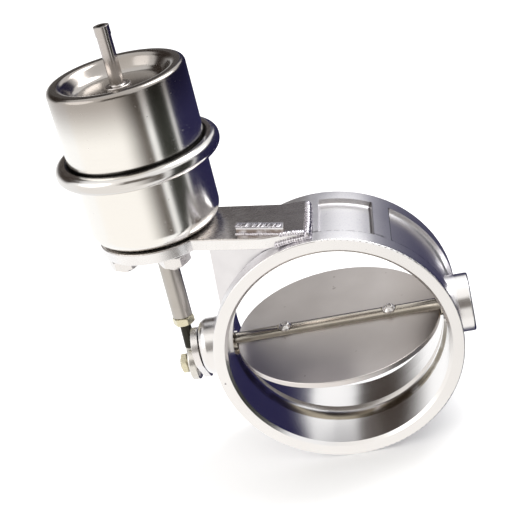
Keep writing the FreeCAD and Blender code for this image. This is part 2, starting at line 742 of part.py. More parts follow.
def make_lever():
    """Lever on the shaft's flats. It leans by the crank angle, its own Y axis through the pin."""
    lever = new_body("shaft_lever", y=shaft_y, axis=X_AXIS, turn=s.crank_angle)
    edge = new_sketch(lever, "edge", "YZ_Plane", z=-lever_outer)
    stadium_link(edge, (s.shaft_radius + s.lever_boss_wall), (s.pin_root_radius + s.lever_tip_wall), s.crank)
    pad(lever, "plate", edge, s.lever_thick)
    bore = new_sketch(lever, "pin_circle", "YZ_Plane", z=-lever_inner)
    circle(bore, s.pin_root_radius + s.press_gap, s.crank, 0)
    pocket(lever, "pin_hole", bore, s.lever_thick)
    # The hole's flats follow the shaft's flats, which lean by the rest tilt
    eye = new_sketch(lever, "shaft_eye", "YZ_Plane", z=-lever_inner, axis=Z_AXIS, turn=s.rest_tilt_angle - s.crank_angle)
    two_flats(eye, s.shaft_radius + s.press_gap, s.shaft_flat + s.press_gap)
    pocket(lever, "shaft_hole", eye, s.lever_thick)

    pin = new_body("lever_pin", y=pin_y, z=pin_z)
    end = ball_outer - s.pin_nut_height - s.pin_thread_over
    turned_x(pin, "turned", [
        (-lever_inner, 0), (-lever_inner, s.pin_root_radius), (-lever_outer, s.pin_root_radius),
        (-lever_outer - s.press_gap, s.pin_collar_radius), (ball_inner + s.press_gap, s.pin_collar_radius),
        (ball_inner + s.press_gap, s.pin_radius), (end, s.pin_radius), (end, 0)])

    nut = new_body("pin_nut", x=ball_outer - s.press_gap, y=pin_y, z=pin_z, axis=Y_AXIS, turn=-90)
    hex_nut(nut, "nut", s.pin_nut_across, as_size(0), s.pin_nut_height, s.pin_radius + s.press_gap)


def make_rod():
    """Rod, lock nut and rod end, on a line from the pin up into the can."""
    lean = {"x": eye_x, "y": pin_y, "z": pin_z, "axis": X_AXIS, "turn": s.rod_lean_angle}
    rod_end = new_body("rod_end", **lean)
    half = s.eye_thick / 2
    turned_x(rod_end, "eye", [(-half, 0), (-half, eye_radius, s.eye_round), (half, eye_radius, s.eye_round), (half, 0)])
    foot = s.ball_radius + s.running_gap + s.eye_wall / 4
    turned_z(rod_end, "neck", [
        (0, foot), (s.neck_foot_radius, foot), (s.neck_top_radius, neck_top), (s.thread_radius, neck_top),
        (s.thread_radius, neck_top + s.thread_length), (0, neck_top + s.thread_length)])
    seat = new_sketch(rod_end, "seat_section", "XY_Plane")
    seat_radius = s.ball_radius + s.running_gap
    half_round(seat, seat_radius)
    revolve(rod_end, "seat", seat, "H_Axis", "Groove")

    ball = new_body("rod_end_ball", x=eye_x, y=pin_y, z=pin_z, axis=Y_AXIS, turn=90)
    sphere = ball.newObject("PartDesign::AdditiveSphere", "rod_end_ball_sphere")
    bind(sphere, "Radius", s.ball_radius)
    ratio = s.ball_width / 2 / s.ball_radius
    bind(sphere, "Angle1", Size(0, f"-asin({ratio.formula})"))
    bind(sphere, "Angle2", Size(0, f"asin({ratio.formula})"))
    bore = new_sketch(ball, "bore_circle", "XY_Plane")
    circle(bore, s.pin_radius + s.press_gap)
    pocket(ball, "bore", bore, s.ball_width * 2, both_ways=True)

    nut = new_body("rod_lock_nut", **lean)
    hex_nut(nut, "nut", s.lock_nut_across, neck_top + s.press_gap, s.lock_nut_height - s.press_gap * 2,
            s.thread_radius + s.press_gap)

    rod = new_body("actuator_rod", **lean)
    bevel = s.rod_bevel
    bottom = rod_start
    turned_z(rod, "bar", [
        (0, bottom), (s.rod_radius - bevel, bottom), (s.rod_radius, bottom + bevel),
        (s.rod_radius, rod_shoulder), (s.rod_tip_radius, rod_shoulder), (s.rod_tip_radius, rod_tip), (0, rod_tip)])
    tapped = new_sketch(rod, "thread_circle", "XY_Plane", z=bottom)
    circle(tapped, s.thread_radius + s.press_gap)
    pocket(rod, "thread_bore", tapped, s.thread_length + s.cutter_reach, backwards=True)


def make_bracket():
    """Flat plate from the ring out to a round head under the can, and the upright web below it."""
    plate = new_body("actuator_bracket")
    edge = new_sketch(plate, "strip_edge", "XY_Plane", z=plate_under)
    outline(edge, [
        (s.plate_end, s.plate_front), (s.plate_end, plate_rear), (s.rear_bend, plate_rear, s.plate_bend_round),
        (can_x + s.rear_join_across, can_y + s.rear_join_back), (can_x, can_y),
        (can_x + s.front_join_across, can_y - s.front_join_back), (s.front_bend, s.plate_front, s.plate_bend_round)])
    pad(plate, "strip", edge, s.plate_thick)
    head = new_sketch(plate, "head_circle", "XY_Plane", z=plate_under)
    circle(head, lower_can_radius - s.plate_head_margin, can_x, can_y)
    slab = pad(plate, "head", head, s.plate_thick)
    soften(plate, slab, "edges", s.plate_edge_round)
    holes = new_sketch(plate, "hole_circles", "XY_Plane", z=plate_top)
    circle(holes, rod_hole, can_x, can_y)
    for across, up in stud_places():
        circle(holes, s.stud_radius + s.stud_hole_gap, can_x + across, can_y + up)
    pocket(plate, "holes", holes, s.plate_thick)
    tab = new_sketch(plate, "tab_slot_edge", "XY_Plane", z=plate_top)
    gap = s.weld_gap
    slope = sine(s.web_angle) / cosine(s.web_angle)
    tab_left = s.web_right - s.web_tab_length
    near = s.web_front - gap * 2
    far = s.web_front + s.web_thick / cosine(s.web_angle) + gap * 2
    rise = s.web_tab_length * slope
    outline(tab, [(s.web_right + gap, near), (s.web_right + gap, far), (tab_left - gap, far + rise),
                  (tab_left - gap, near + rise)])
    pocket(plate, "tab_slot", tab, s.plate_thick)

    web = new_body("bracket_web")
    turn = as_size(180) - s.web_angle
    side = new_sketch(web, "side_edge", "XZ_Plane", s.web_right, 0, -s.web_front, Y_AXIS, turn)
    shoulder = plate_under - s.weld_gap
    tab_top = plate_top + s.web_tab_rise
    tab_blank = s.web_tab_length / cosine(s.web_angle) + s.web_thick
    outline(side, [
        (0, 0), (0, tab_top), (tab_blank, tab_top), (tab_blank, shoulder), (web_length, shoulder),
        (web_foot_length, 0)])
    pad(web, "blank", side, s.web_thick)
    # Both ends of the tab and the web's inner end are cut square to the pipe
    inner_end = new_sketch(web, "inner_end_cut", "XY_Plane", z=tab_top)
    outline(inner_end, [(s.web_right, 0), (0, 0), (0, s.housing_depth), (s.web_right, s.housing_depth)])
    pocket(web, "inner_end", inner_end, tab_top)
    outer_end = new_sketch(web, "outer_end_cut", "XY_Plane", z=tab_top)
    outline(outer_end, [(tab_left, 0), (tab_left, s.housing_depth), (tab_left - web_length, s.housing_depth),
                        (tab_left - web_length, 0)])
    pocket(web, "outer_end", outer_end, tab_top - shoulder)
    # The foot follows the ring: its front band, then the pocket's floor
    band = s.front_band + s.pocket_round
    floor = rim_radius - s.pocket_depth + s.weld_gap
    rim = rim_radius + s.weld_gap
    foot = new_sketch(web, "foot_section", "XY_Plane")
    outline(foot, [(0, -s.cutter_reach), (rim, -s.cutter_reach), (rim, band), (floor, band),
                   (floor, s.housing_depth), (0, s.housing_depth)])
    revolve(web, "foot", foot, "V_Axis", "Groove")


def stud_places():
    """The four studs' places from the can's axis."""
    places = []
    for across, deep in ((1, 1), (1, -1), (-1, -1), (-1, 1)):
        along = across * s.stud_across / 2
        back = deep * s.stud_deep / 2
        places.append((along * cosine(s.stud_angle) - back * sine(s.stud_angle),
                       along * sine(s.stud_angle) + back * cosine(s.stud_angle)))
    return places


def make_actuator():
    """Pressed cans, crimp ring, studs, nuts and nipple about the can's axis."""
    spot = {"x": can_x, "y": can_y}
    wall = s.can_wall
    lower = new_body("actuator_lower_can", **spot)
    floor, bend = plate_top, s.flange_bend
    turned_z(lower, "cup", [
        (rod_hole, floor), (lower_can_radius, floor, s.lower_can_round),
        (lower_can_radius, lower_flange_top - wall, bend), (flange_radius, lower_flange_top - wall),
        (flange_radius, lower_flange_top), (lower_can_radius - wall, lower_flange_top, bend + wall),
        (lower_can_radius - wall, floor + wall, s.lower_can_round - wall), (rod_hole, floor + wall)])

    upper = new_body("actuator_upper_can", **spot)
    dish = can_top - s.dish_depth
    dish_rim = s.upper_can_radius - s.dish_rim_width
    dish_foot = dish_rim - s.dish_slope_width
    run = s.dish_slope_width
    slant = wall * (root(run * run + s.dish_depth * s.dish_depth) - run) / s.dish_depth
    hole = s.nipple_radius + s.press_gap
    turned_z(upper, "cup", [
        (hole, dish), (dish_foot, dish, s.dish_foot_round), (dish_rim, can_top, s.dish_rim_round),
        (s.upper_can_radius, can_top, s.can_rim_round), (s.upper_can_radius, upper_flange_under + wall, bend),
        (flange_radius, upper_flange_under + wall), (flange_radius, upper_flange_under),
        (s.upper_can_radius - wall, upper_flange_under, bend + wall),
        (s.upper_can_radius - wall, can_top - wall, s.can_rim_round - wall / 2),
        (dish_rim + slant, can_top - wall, s.dish_rim_round - wall),
        (dish_foot + slant, dish - wall, s.dish_foot_round + wall), (hole, dish - wall)])

    crimp = new_body("crimp_ring", **spot)
    low, high = flange_middle - s.crimp_height / 2, flange_middle + s.crimp_height / 2
    inside = crimp_radius - s.crimp_wall
    crimp_lip = crimp_radius - s.crimp_lip_width
    inner_round = s.crimp_round - s.crimp_wall
    turned_z(crimp, "channel", [
        (crimp_lip, low), (crimp_radius, low, s.crimp_round), (crimp_radius, high, s.crimp_round),
        (crimp_lip, high), (crimp_lip, high - s.crimp_wall), (inside, high - s.crimp_wall, inner_round),
        (inside, low + s.crimp_wall, inner_round), (crimp_lip, low + s.crimp_wall)])

    studs = new_body("mounting_studs", **spot)
    sketch = new_sketch(studs, "stud_circles", "XY_Plane", z=plate_top)
    for across, up in stud_places():
        circle(sketch, s.stud_radius, across, up)
    length = s.plate_thick + s.stud_nut_height + s.stud_over
    pad(studs, "studs", sketch, length, backwards=True)

    nuts = new_body("stud_nuts", **spot)
    for number, (across, up) in enumerate(stud_places(), start=1):
        hex_nut(nuts, f"nut_{number}", s.stud_nut_across, plate_under - s.stud_nut_height, s.stud_nut_height,
                s.stud_radius + s.press_gap, across, up)

    nipple = new_body("vacuum_nipple", **spot)
    flange = s.nipple_radius + s.nipple_flange_width
    lip = s.nipple_radius + s.nipple_lip_width
    base = dish + s.press_gap
    under = dish - wall - s.press_gap
    tip = can_top + s.nipple_height
    collar_foot = tip - s.collar_height
    collar = s.nipple_radius + s.collar_rise
    turned_z(nipple, "tube", [
        (s.nipple_bore, under - s.nipple_lip_thick), (lip, under - s.nipple_lip_thick), (lip, under), (s.nipple_radius, under), (s.nipple_radius, base),
        (flange, base), (flange, base + s.nipple_flange_thick, s.nipple_flange_round),
        (s.nipple_radius, base + s.nipple_flange_thick, s.nipple_foot_round), (s.nipple_radius, collar_foot),
        (collar, collar_foot), (collar, tip, s.collar_round), (s.nipple_bore, tip)])


def make_piston():
    """Diaphragm, retainer, cup, nut and spring inside the can, drawn level at rest."""
    spot = {"x": can_x, "y": can_y}
    thick = s.diaphragm_thick
    diaphragm = new_body("diaphragm", **spot)
    low, high = piston_level - thick / 2, piston_level + thick / 2
    top, under = upper_flange_under - s.press_gap, lower_flange_top + s.press_gap
    turned_z(diaphragm, "rubber", [
        (piston_hole, low), (s.convolution_foot + thick / 2, low, thick * 1.5),
        (s.convolution_head, under, s.convolution_round - thick / 2), (flange_radius, under), (flange_radius, top),
        (s.convolution_head - thick, top, s.convolution_round), (s.convolution_foot - thick / 2, high, thick),
        (piston_hole, high)])

    retainer = new_body("retainer_plate", **spot)
    turned_z(retainer, "plate", [
        (piston_hole, retainer_top - s.retainer_thick), (s.retainer_radius, retainer_top - s.retainer_thick, s.retainer_round),
        (s.retainer_radius, retainer_top), (piston_hole, retainer_top)])

    cup = new_body("piston_cup", **spot)
    wall = s.can_wall
    rim = cup_floor + s.cup_height
    turned_z(cup, "cup", [
        (piston_hole, cup_floor), (s.cup_radius, cup_floor, s.cup_round), (s.cup_radius, rim), (s.cup_radius - wall, rim),
        (s.cup_radius - wall, cup_floor + wall, s.cup_round - wall), (piston_hole, cup_floor + wall)])

    nut = new_body("piston_nut", **spot)
    hex_nut(nut, "nut", s.piston_nut_across, piston_nut_foot, s.piston_nut_height, piston_hole)

    spring = new_body("return_spring", **spot)
    start = piston_nut_foot + s.soft_gap + s.spring_wire_radius
    rise = can_ceiling - s.soft_gap - s.spring_wire_radius - start
    wire = new_sketch(spring, "wire_circle", "XZ_Plane")
    circle(wire, s.spring_wire_radius, s.spring_radius, start)
    coil = spring.newObject("PartDesign::AdditiveHelix", "return_spring_coil")
    coil.Profile = wire
    coil.ReferenceAxis = (wire, ["V_Axis"])
    coil.Mode = "pitch-turns-angle"
    bind(coil, "Pitch", rise / s.spring_turns)
    bind(coil, "Turns", s.spring_turns)
    coil.Angle = 0


make_valve_housing()
make_shaft_pieces()
make_butterfly()
make_lever()
make_rod()
make_bracket()
make_actuator()
make_piston()
doc.recompute()

# Every object has to be sound before anything is written
for thing in doc.Objects:
    if "Invalid" in thing.State or "Error" in thing.State:
        raise RuntimeError(f"{thing.Label} could not be built: {thing.State}")
bodies = [thing for thing in doc.Objects if thing.TypeId == "PartDesign::Body"]
for body in bodies:
    if body.Shape.isNull() or not body.Shape.isValid():
        raise RuntimeError(f"{body.Label} is not a sound solid")

os.makedirs("parts", exist_ok=True)
for body in bodies:
    body.Shape.exportStep(f"parts/{body.Label}.step")
    box = body.Shape.BoundBox
    print(f"{body.Label:20s} solids {len(body.Shape.Solids)} volume {body.Shape.Volume:9.1f}",
          f"x {box.XMin:.2f} {box.XMax:.2f} y {box.YMin:.2f} {box.YMax:.2f} z {box.ZMin:.2f} {box.ZMax:.2f}")
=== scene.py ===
# %% [markdown]
# # Dressing an exhaust cutout valve
# The valve is a cast ring with a shaft and a disc across it. A vacuum can on a welded bracket
# pulls a rod, the rod swings a lever, and the lever closes the disc. The solids come from the
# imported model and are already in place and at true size. This lesson gives them smooth skins,
# real metal finishes, weld beads, studio light and a camera.

# %% Load the model
import bpy
import json
import math
import random
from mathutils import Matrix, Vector


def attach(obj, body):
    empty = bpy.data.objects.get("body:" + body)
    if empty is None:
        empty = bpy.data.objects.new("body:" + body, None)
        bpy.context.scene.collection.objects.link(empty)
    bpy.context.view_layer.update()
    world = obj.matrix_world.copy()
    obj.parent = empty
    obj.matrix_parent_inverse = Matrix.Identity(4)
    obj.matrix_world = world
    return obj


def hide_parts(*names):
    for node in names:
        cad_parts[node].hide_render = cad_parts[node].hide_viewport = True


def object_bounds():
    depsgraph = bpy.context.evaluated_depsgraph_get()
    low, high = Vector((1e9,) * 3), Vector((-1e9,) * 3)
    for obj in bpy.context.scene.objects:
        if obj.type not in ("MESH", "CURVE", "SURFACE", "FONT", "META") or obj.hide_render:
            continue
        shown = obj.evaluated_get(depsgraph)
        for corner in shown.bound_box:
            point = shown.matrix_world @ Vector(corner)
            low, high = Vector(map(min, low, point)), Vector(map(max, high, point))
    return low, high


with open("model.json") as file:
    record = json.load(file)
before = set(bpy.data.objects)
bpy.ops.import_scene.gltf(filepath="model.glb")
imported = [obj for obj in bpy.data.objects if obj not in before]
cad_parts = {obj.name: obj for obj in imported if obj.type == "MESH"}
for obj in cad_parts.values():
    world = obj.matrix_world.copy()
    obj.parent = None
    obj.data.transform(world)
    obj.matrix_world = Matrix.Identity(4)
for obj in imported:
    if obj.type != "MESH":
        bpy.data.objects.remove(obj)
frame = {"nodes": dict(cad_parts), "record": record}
cad_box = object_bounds()
nodes = frame["nodes"]
print("nodes loaded:", len(nodes))

# %% [markdown]
# The camera comes first, because every later choice is judged through it. The photograph was
# taken from a little to the right of the bore's axis, looking down by about 25 degrees, with a
# long lens and the camera rolled by about 14 degrees, which makes the can lean in the picture. A
# camera could be aimed by a constraint. Here its place and angles are written down, since they
# were measured once and don't change.

# %% Camera
CAMERA_PLACE = (0.0404144, -0.3709430, 0.2220864)
CAMERA_ANGLES = (63.70957, 12.85056, 2.95268)
LENS_MM, SENSOR_MM = 88.73, 36.0
bpy.ops.object.select_all(action="DESELECT")
bpy.ops.object.camera_add(
    location=CAMERA_PLACE, rotation=[math.radians(angle) for angle in CAMERA_ANGLES])
camera = bpy.context.object
camera.name = "studio_camera"
camera.data.lens = LENS_MM
camera.data.sensor_width = SENSOR_MM
bpy.context.scene.camera = camera
bpy.context.scene.view_settings.view_transform = "Standard"
print("camera height above the bore axis:", round(camera.location.z, 3), "m")

# %% [markdown]
# Every finish and the surroundings are made of shader nodes, and most of those nodes only add and
# multiply. Such maths is easier to read as plain sums. So a small class wraps a socket and adds
# the Math nodes, and one method adds any other node. Colours go through a Mix node, because a
# Math node would turn them grey.

# %% Sums on sockets
MIX_SHARE, MIX_FIRST, MIX_SECOND, MIX_COLOUR = 0, 6, 7, 2


class Wire:
    """One output of a node, which can be added, subtracted and multiplied."""

    def __init__(self, tree, socket):
        self.tree, self.socket = tree, socket

    def sum(self, operation, first, second):
        return self.tree.add("Math", {"operation": operation}, {0: first, 1: second})

    def __add__(self, other):
        return self.sum("ADD", self, other)

    def __sub__(self, other):
        return self.sum("SUBTRACT", self, other)

    def __rsub__(self, other):
        return self.sum("SUBTRACT", other, self)

    def __mul__(self, other):
        return self.sum("MULTIPLY", self, other)

    __radd__, __rmul__ = __add__, __mul__


class Tree:
    """The nodes of one material or world."""

    def __init__(self, owner):
        owner.use_nodes = True
        self.nodes, self.links = owner.node_tree.nodes, owner.node_tree.links

    def add(self, kind, settings=None, inputs=None, output=0):
        """A node of a kind, with its settings made first and then its sockets filled or linked."""
        node = self.nodes.new("ShaderNode" + kind)
        for name, value in (settings or {}).items():
            setattr(node, name, value)
        for name, value in (inputs or {}).items():
            if isinstance(value, Wire):
                self.links.new(value.socket, node.inputs[name])
            elif node.inputs[name].type == "RGBA":
                node.inputs[name].default_value = (*value, 1.0)
            else:
                node.inputs[name].default_value = value
        return Wire(self, node.outputs[output])

    def rise(self, value, low, high):
        """0 below low, 1 above high, smooth between."""
        return self.add("MapRange", {"interpolation_type": "SMOOTHSTEP"}, {0: value, 1: low, 2: high})

    def between(self, value, low, high, soft):
        """1 between low and high, 0 outside."""
        return self.rise(value, low - soft, low + soft) * (1 - self.rise(value, high - soft, high + soft))

    def blend(self, share, first, second):
        """A colour between first and second."""
        sockets = {MIX_SHARE: share, MIX_FIRST: first, MIX_SECOND: second}
        return self.add("Mix", {"data_type": "RGBA"}, sockets, output=MIX_COLOUR)


# %% [markdown]
# Metal looks like metal only through what it reflects. The valve stood in a bright tent with dark
# cloth at its right and behind it, which gives the can its navy side and the ring its dark pocket.
# The stripes on the can's front come from dark cards nearer the camera and from the photographer.
# Standing cards could do this, but they would cut off other views. So the surroundings are painted
# on the world by direction: white overhead, cream at the left, and each cloth or card between two
# bearings (degrees, 0 to the right and -90 towards the camera) and two heights (0 at the horizon,
# 1 straight up). The camera itself sees plain white.

# %% The room that the metal reflects
WHITE, CREAM = (1.0, 1.0, 1.0), (1.0, 0.975, 0.94)
NAVY, BROWN = (0.022, 0.020, 0.062), (0.085, 0.068, 0.053)
SLATE, UMBER = (0.030, 0.031, 0.026), (0.045, 0.034, 0.028)
CREAM_SIDE = (-179, -70, 12)        # bearing from, bearing to, softness
RIGHT_CLOTH = (0, 98, 3)
LOWERED_PART, LOWERED_BY = (70, 86, 5), 0.12    # where the right cloth's top hangs lower
REAR_CLOTH = (96, 165, 4)
SLATE_CARD = (-40, -5, 3)
PHOTOGRAPHER, PHOTOGRAPHER_HEIGHT = (-110, -66, 8), (0.10, 0.70, 0.06)
FRONT_CARD_LEFT, FRONT_CARD_RIGHT = (-98, -54), (-53, -48)
CEILING, CLOTH_TOP, CARD_FOOT = (0.38, 0.50), (0.40, 0.50), (-0.66, -0.50)
REAR_FOOT, REAR_TOP = (-0.12, 0.34), (0.62, 0.74)
ROOM_STRENGTH = 1.2
world = bpy.context.scene.world or bpy.data.worlds.new("tent")
bpy.context.scene.world = world
room = Tree(world)
towards = room.add("TexCoord", output="Generated")
side = room.add("SeparateXYZ", inputs={0: towards}, output="X")
back = room.add("SeparateXYZ", inputs={0: towards}, output="Y")
height = room.add("SeparateXYZ", inputs={0: towards}, output="Z")
bearing = room.add("Math", {"operation": "ARCTAN2"}, {0: back, 1: side}) * math.degrees(1)
below_ceiling = 1 - room.rise(height, *CEILING)
raised_height = height + room.between(bearing, *LOWERED_PART) * LOWERED_BY
right_cloth = room.between(bearing, *RIGHT_CLOTH) * (1 - room.rise(raised_height, *CLOTH_TOP))
slate_card = room.between(bearing, *SLATE_CARD) * below_ceiling
front_card = room.rise(bearing, *FRONT_CARD_LEFT) * (1 - room.rise(bearing, *FRONT_CARD_RIGHT))
front_card = front_card * below_ceiling * room.rise(height, *CARD_FOOT)
rear_cloth = room.between(bearing, *REAR_CLOTH) * room.rise(height, *REAR_FOOT)
rear_cloth = rear_cloth * (1 - room.rise(height, *REAR_TOP))
photographer = room.between(bearing, *PHOTOGRAPHER) * room.between(height, *PHOTOGRAPHER_HEIGHT)
colour = room.blend(room.between(bearing, *CREAM_SIDE), WHITE, CREAM)
colour = room.blend(front_card, colour, BROWN)
colour = room.blend(photographer * 0.9, colour, BROWN)
colour = room.blend(slate_card, colour, SLATE)
colour = room.blend(rear_cloth, colour, UMBER)
colour = room.blend(right_cloth, colour, NAVY)
colour = room.blend(room.add("LightPath", output="Is Camera Ray"), colour, WHITE)
background = room.nodes["Background"]
room.links.new(colour.socket, background.inputs["Color"])
background.inputs["Strength"].default_value = ROOM_STRENGTH
print("world nodes:", len(room.nodes))

# %% [markdown]
# The floor is plain white and keeps a soft shadow, which ties the valve to the ground. A touch of
# glow keeps it as white as the picture's background. One big soft lamp stands behind and above to
# the right, so the shadow falls towards the camera, and a weak one at the left fills it. The floor
# is hidden from mirror rays, because the painted room already holds what lies below the horizon.

# %% Floor and lamps
FLOOR_SIZE = 6.0
PAPER = {
    "Base Color": (0.96, 0.96, 0.96, 1), "Roughness": 1.0, "Specular IOR Level": 0.0,
    "Emission Color": (1, 1, 1, 1), "Emission Strength": 0.18}
VALVE_MIDDLE = (0, 0.02, 0.04)
bpy.ops.mesh.primitive_plane_add(size=FLOOR_SIZE, location=(0, 0, cad_box[0][2]))
floor = bpy.context.object
floor.name = "floor_sheet"
floor.visible_glossy = False
paper = bpy.data.materials.new("white_paper")
paper_shader = Tree(paper).nodes["Principled BSDF"]
for socket_name, value in PAPER.items():
    paper_shader.inputs[socket_name].default_value = value
floor.data.materials.append(paper)


def soft_lamp(name, place, size, power):
    bpy.ops.object.light_add(type="AREA", location=place)
    lamp = bpy.context.object
    lamp.name = name
    lamp.data.shape = "DISK"
    lamp.data.size = size
    lamp.data.energy = power
    lamp.rotation_euler = (Vector(VALVE_MIDDLE) - Vector(place)).to_track_quat("-Z", "Y").to_euler()


soft_lamp("key_softbox", (0.35, 0.30, 0.75), size=0.55, power=3.8)
soft_lamp("left_softbox", (-0.60, -0.25, 0.45), size=0.60, power=0.9)

# %% [markdown]
# The solids arrive as loose triangles. On a shiny can those would show as facets. Each one gets a
# skin: a copy whose triangles are welded, shaded smooth below a set angle, with normals weighted
# by area so that flat faces stay flat. The small pieces get a tiny bevel on edges that were left
# sharp, because no real edge is a perfect corner and the bevel is what catches the light. Pieces
# inside the can, and the bushes, seal and washer, of which little or nothing shows, keep their
# plain solid.

# %% Skins for the solids
HOME = {node: body for body, members in frame["record"]["behaviour"]["bodies"].items() for node in members}
WELD_GAP, FLAT_WITHIN, BEVEL_ABOVE, SMOOTH_BELOW = 2e-6, 0.4, 40, 32     # metres, then degrees


def only(piece):
    bpy.ops.object.select_all(action="DESELECT")
    piece.select_set(True)
    bpy.context.view_layer.objects.active = piece


def skin(node, bevel):
    piece = bpy.data.objects.new(node + "_skin", nodes[node].data.copy())
    bpy.context.scene.collection.objects.link(piece)
    piece.data.materials.clear()
    only(piece)
    bpy.ops.mesh.customdata_custom_splitnormals_clear()
    bpy.ops.object.mode_set(mode="EDIT")
    bpy.ops.mesh.select_all(action="SELECT")
    bpy.ops.mesh.remove_doubles(threshold=WELD_GAP)
    bpy.ops.mesh.dissolve_limited(angle_limit=math.radians(FLAT_WITHIN))
    bpy.ops.object.mode_set(mode="OBJECT")
    if bevel:
        edge = piece.modifiers.new("edge", "BEVEL")
        edge.width, edge.segments, edge.limit_method = bevel, 2, "ANGLE"
        edge.angle_limit = math.radians(BEVEL_ABOVE)
        edge.use_clamp_overlap = True
        bpy.ops.object.modifier_apply(modifier="edge")
    bpy.ops.object.shade_smooth_by_angle(angle=math.radians(SMOOTH_BELOW))
    even = piece.modifiers.new("even", "WEIGHTED_NORMAL")
    even.keep_sharp = True
    bpy.ops.object.modifier_apply(modifier="even")
    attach(piece, HOME[node])
    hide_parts(node)
    return piece


EDGES = {   # bevel widths in metres
    "shaft_lever": 0.00015, "bracket_web": 0.0002, "pin_nut": 0.00008, "rod_lock_nut": 0.00008,
    "stud_nuts": 0.0001, "mounting_studs": 0.0001, "lever_pin": 0.0001, "disc_screws": 0.00006}
PLAIN = ("diaphragm", "return_spring", "retainer_plate", "piston_cup", "piston_nut",
         "shaft_bush_left", "shaft_bush_right", "shaft_seal", "thrust_washer")
skins = {node: skin(node, EDGES.get(node, 0.0)) for node in nodes if node not in PLAIN}
print("skins:", len(skins))

# %% [markdown]
# Each metal is a Principled shader with a pattern of its own. A painted image could carry the
# pattern, but it would need an unwrapped mesh and would blur when seen close. Noise on Object
# coordinates needs neither. They are metres in the model's own frame here, so a scratch has its
# real width.

# %% The ground of every finish
class Metal(Tree):
    """A finish. Its colour, roughness and bump are set by the maker of each finish."""

    def __init__(self, name, metallic=1.0):
        self.material = bpy.data.materials.new(name)
        super().__init__(self.material)
        self.shader = self.nodes["Principled BSDF"]
        self.shader.inputs["Metallic"].default_value = metallic
        self.place = self.add("TexCoord", output="Object")

    def axis(self, name, place=None):
        return self.add("SeparateXYZ", inputs={0: place or self.place}, output=name)

    def noise(self, scale, detail=3.0, roughness=0.5, place=None):
        return self.add("TexNoise", None, {
            "Vector": place or self.place, "Scale": scale, "Detail": detail, "Roughness": roughness})

    def mapped(self, shift=(0.0, 0.0, 0.0), turn=(0.0, 0.0, 0.0), scale=(1.0, 1.0, 1.0)):
        return self.add("Mapping", None, {
            "Vector": self.place, "Location": shift, "Rotation": turn, "Scale": scale})

    def ring(self, first, second):
        """Distance from an axis, from the two coordinates across it."""
        return self.add("Math", {"operation": "SQRT"}, {0: first * first + second * second})

    def round(self, first, second):
        """Angle round an axis."""
        return self.add("Math", {"operation": "ARCTAN2"}, {0: second, 1: first})

    def together(self, x, y, z):
        return self.add("CombineXYZ", None, {0: x, 1: y, 2: z})

    def wear(self, colour, roughness, height, depth):
        self.links.new(colour.socket, self.shader.inputs["Base Color"])
        self.links.new(roughness.socket, self.shader.inputs["Roughness"])
        bump = self.add("Bump", None, {"Height": height, "Distance": depth, "Strength": 1.0})
        self.links.new(bump.socket, self.shader.inputs["Normal"])
        return self.material


def dress(material, *names):
    for name in names:
        piece = skins.get(name) or nodes[name]
        piece.data.materials.clear()
        piece.data.materials.append(material)
    print(material.name, "on", ", ".join(names))


# %% [markdown]
# The ring is investment-cast stainless, blasted to an even satin, then turned on its faces and in
# its bore. Blasting leaves a fine dimpled grain, casting leaves a few small pits. The turned
# bore is smoother and carries fine rings. A patchy brown painted shade lies under the seat ledge,
# a dark painted shade lines the corners of the pockets, and a dark speckled line runs behind the
# front flange. Each of these could be a material of its own on chosen faces, but then the borders
# would be hard. So one material holds them all, and masks from the distance to the bore's axis and
# the depth along it choose.

# %% Cast ring
BORE_END = (0.03835, 0.0385)            # radius where the turned bore ends, metres
SKIN_START = (0.0405, 0.0411)           # radius where the blasted outside starts
BOSS_START = (0.0429, 0.0434)           # distance along the shaft where only the bosses stand
FRONT_FACE = (0.0006, 0.0012)           # depth where the turned front face ends
SEAT_DEPTH = (0.0150, 0.0182, 0.0005)   # depth from, depth to, softness
POCKET_DEPTH = (0.0068, 0.0326, 0.0003)
FLANGE_BACK = (0.0066, 0.0078, 0.0004)
LOWER_HALF = (-0.012, 0.004)            # heights between which the painted shade under the seat ledge fades
POCKET_SIDES = ((26.3, 27.3, 0.25), (35.2, 36.2, 0.25))     # degrees round the axis
RINGS_PER_METRE = 9000
cast = Metal("satin_cast_ring")
x, y, z = cast.axis("X"), cast.axis("Y"), cast.axis("Z")
from_axis = cast.ring(x, z)
around = cast.round(z, x) * math.degrees(1)
grain = cast.noise(1500, detail=4.0, roughness=0.65)
blotch = cast.noise(60)
pits = cast.rise(cast.noise(500, detail=2.0, roughness=0.4), 0.755, 0.80)
bored = 1 - cast.rise(from_axis, *BORE_END)
boss = cast.rise(cast.add("Math", {"operation": "ABSOLUTE"}, {0: x}), *BOSS_START)
outside = cast.rise(from_axis, *SKIN_START)
skinned = outside * cast.rise(y, *FRONT_FACE) * (1 - boss)
rings = cast.together(y * RINGS_PER_METRE, from_axis * RINGS_PER_METRE, 0.0)
turning = cast.noise(1, detail=2.0, place=rings)
# painted shade: a patchy brown under the seat ledge, on the bore's lower part
ledge_shade = cast.between(y, *SEAT_DEPTH) * bored * (1 - cast.rise(z, *LOWER_HALF))
ledge_shade = ledge_shade * cast.rise(cast.noise(160), 0.20, 0.52)
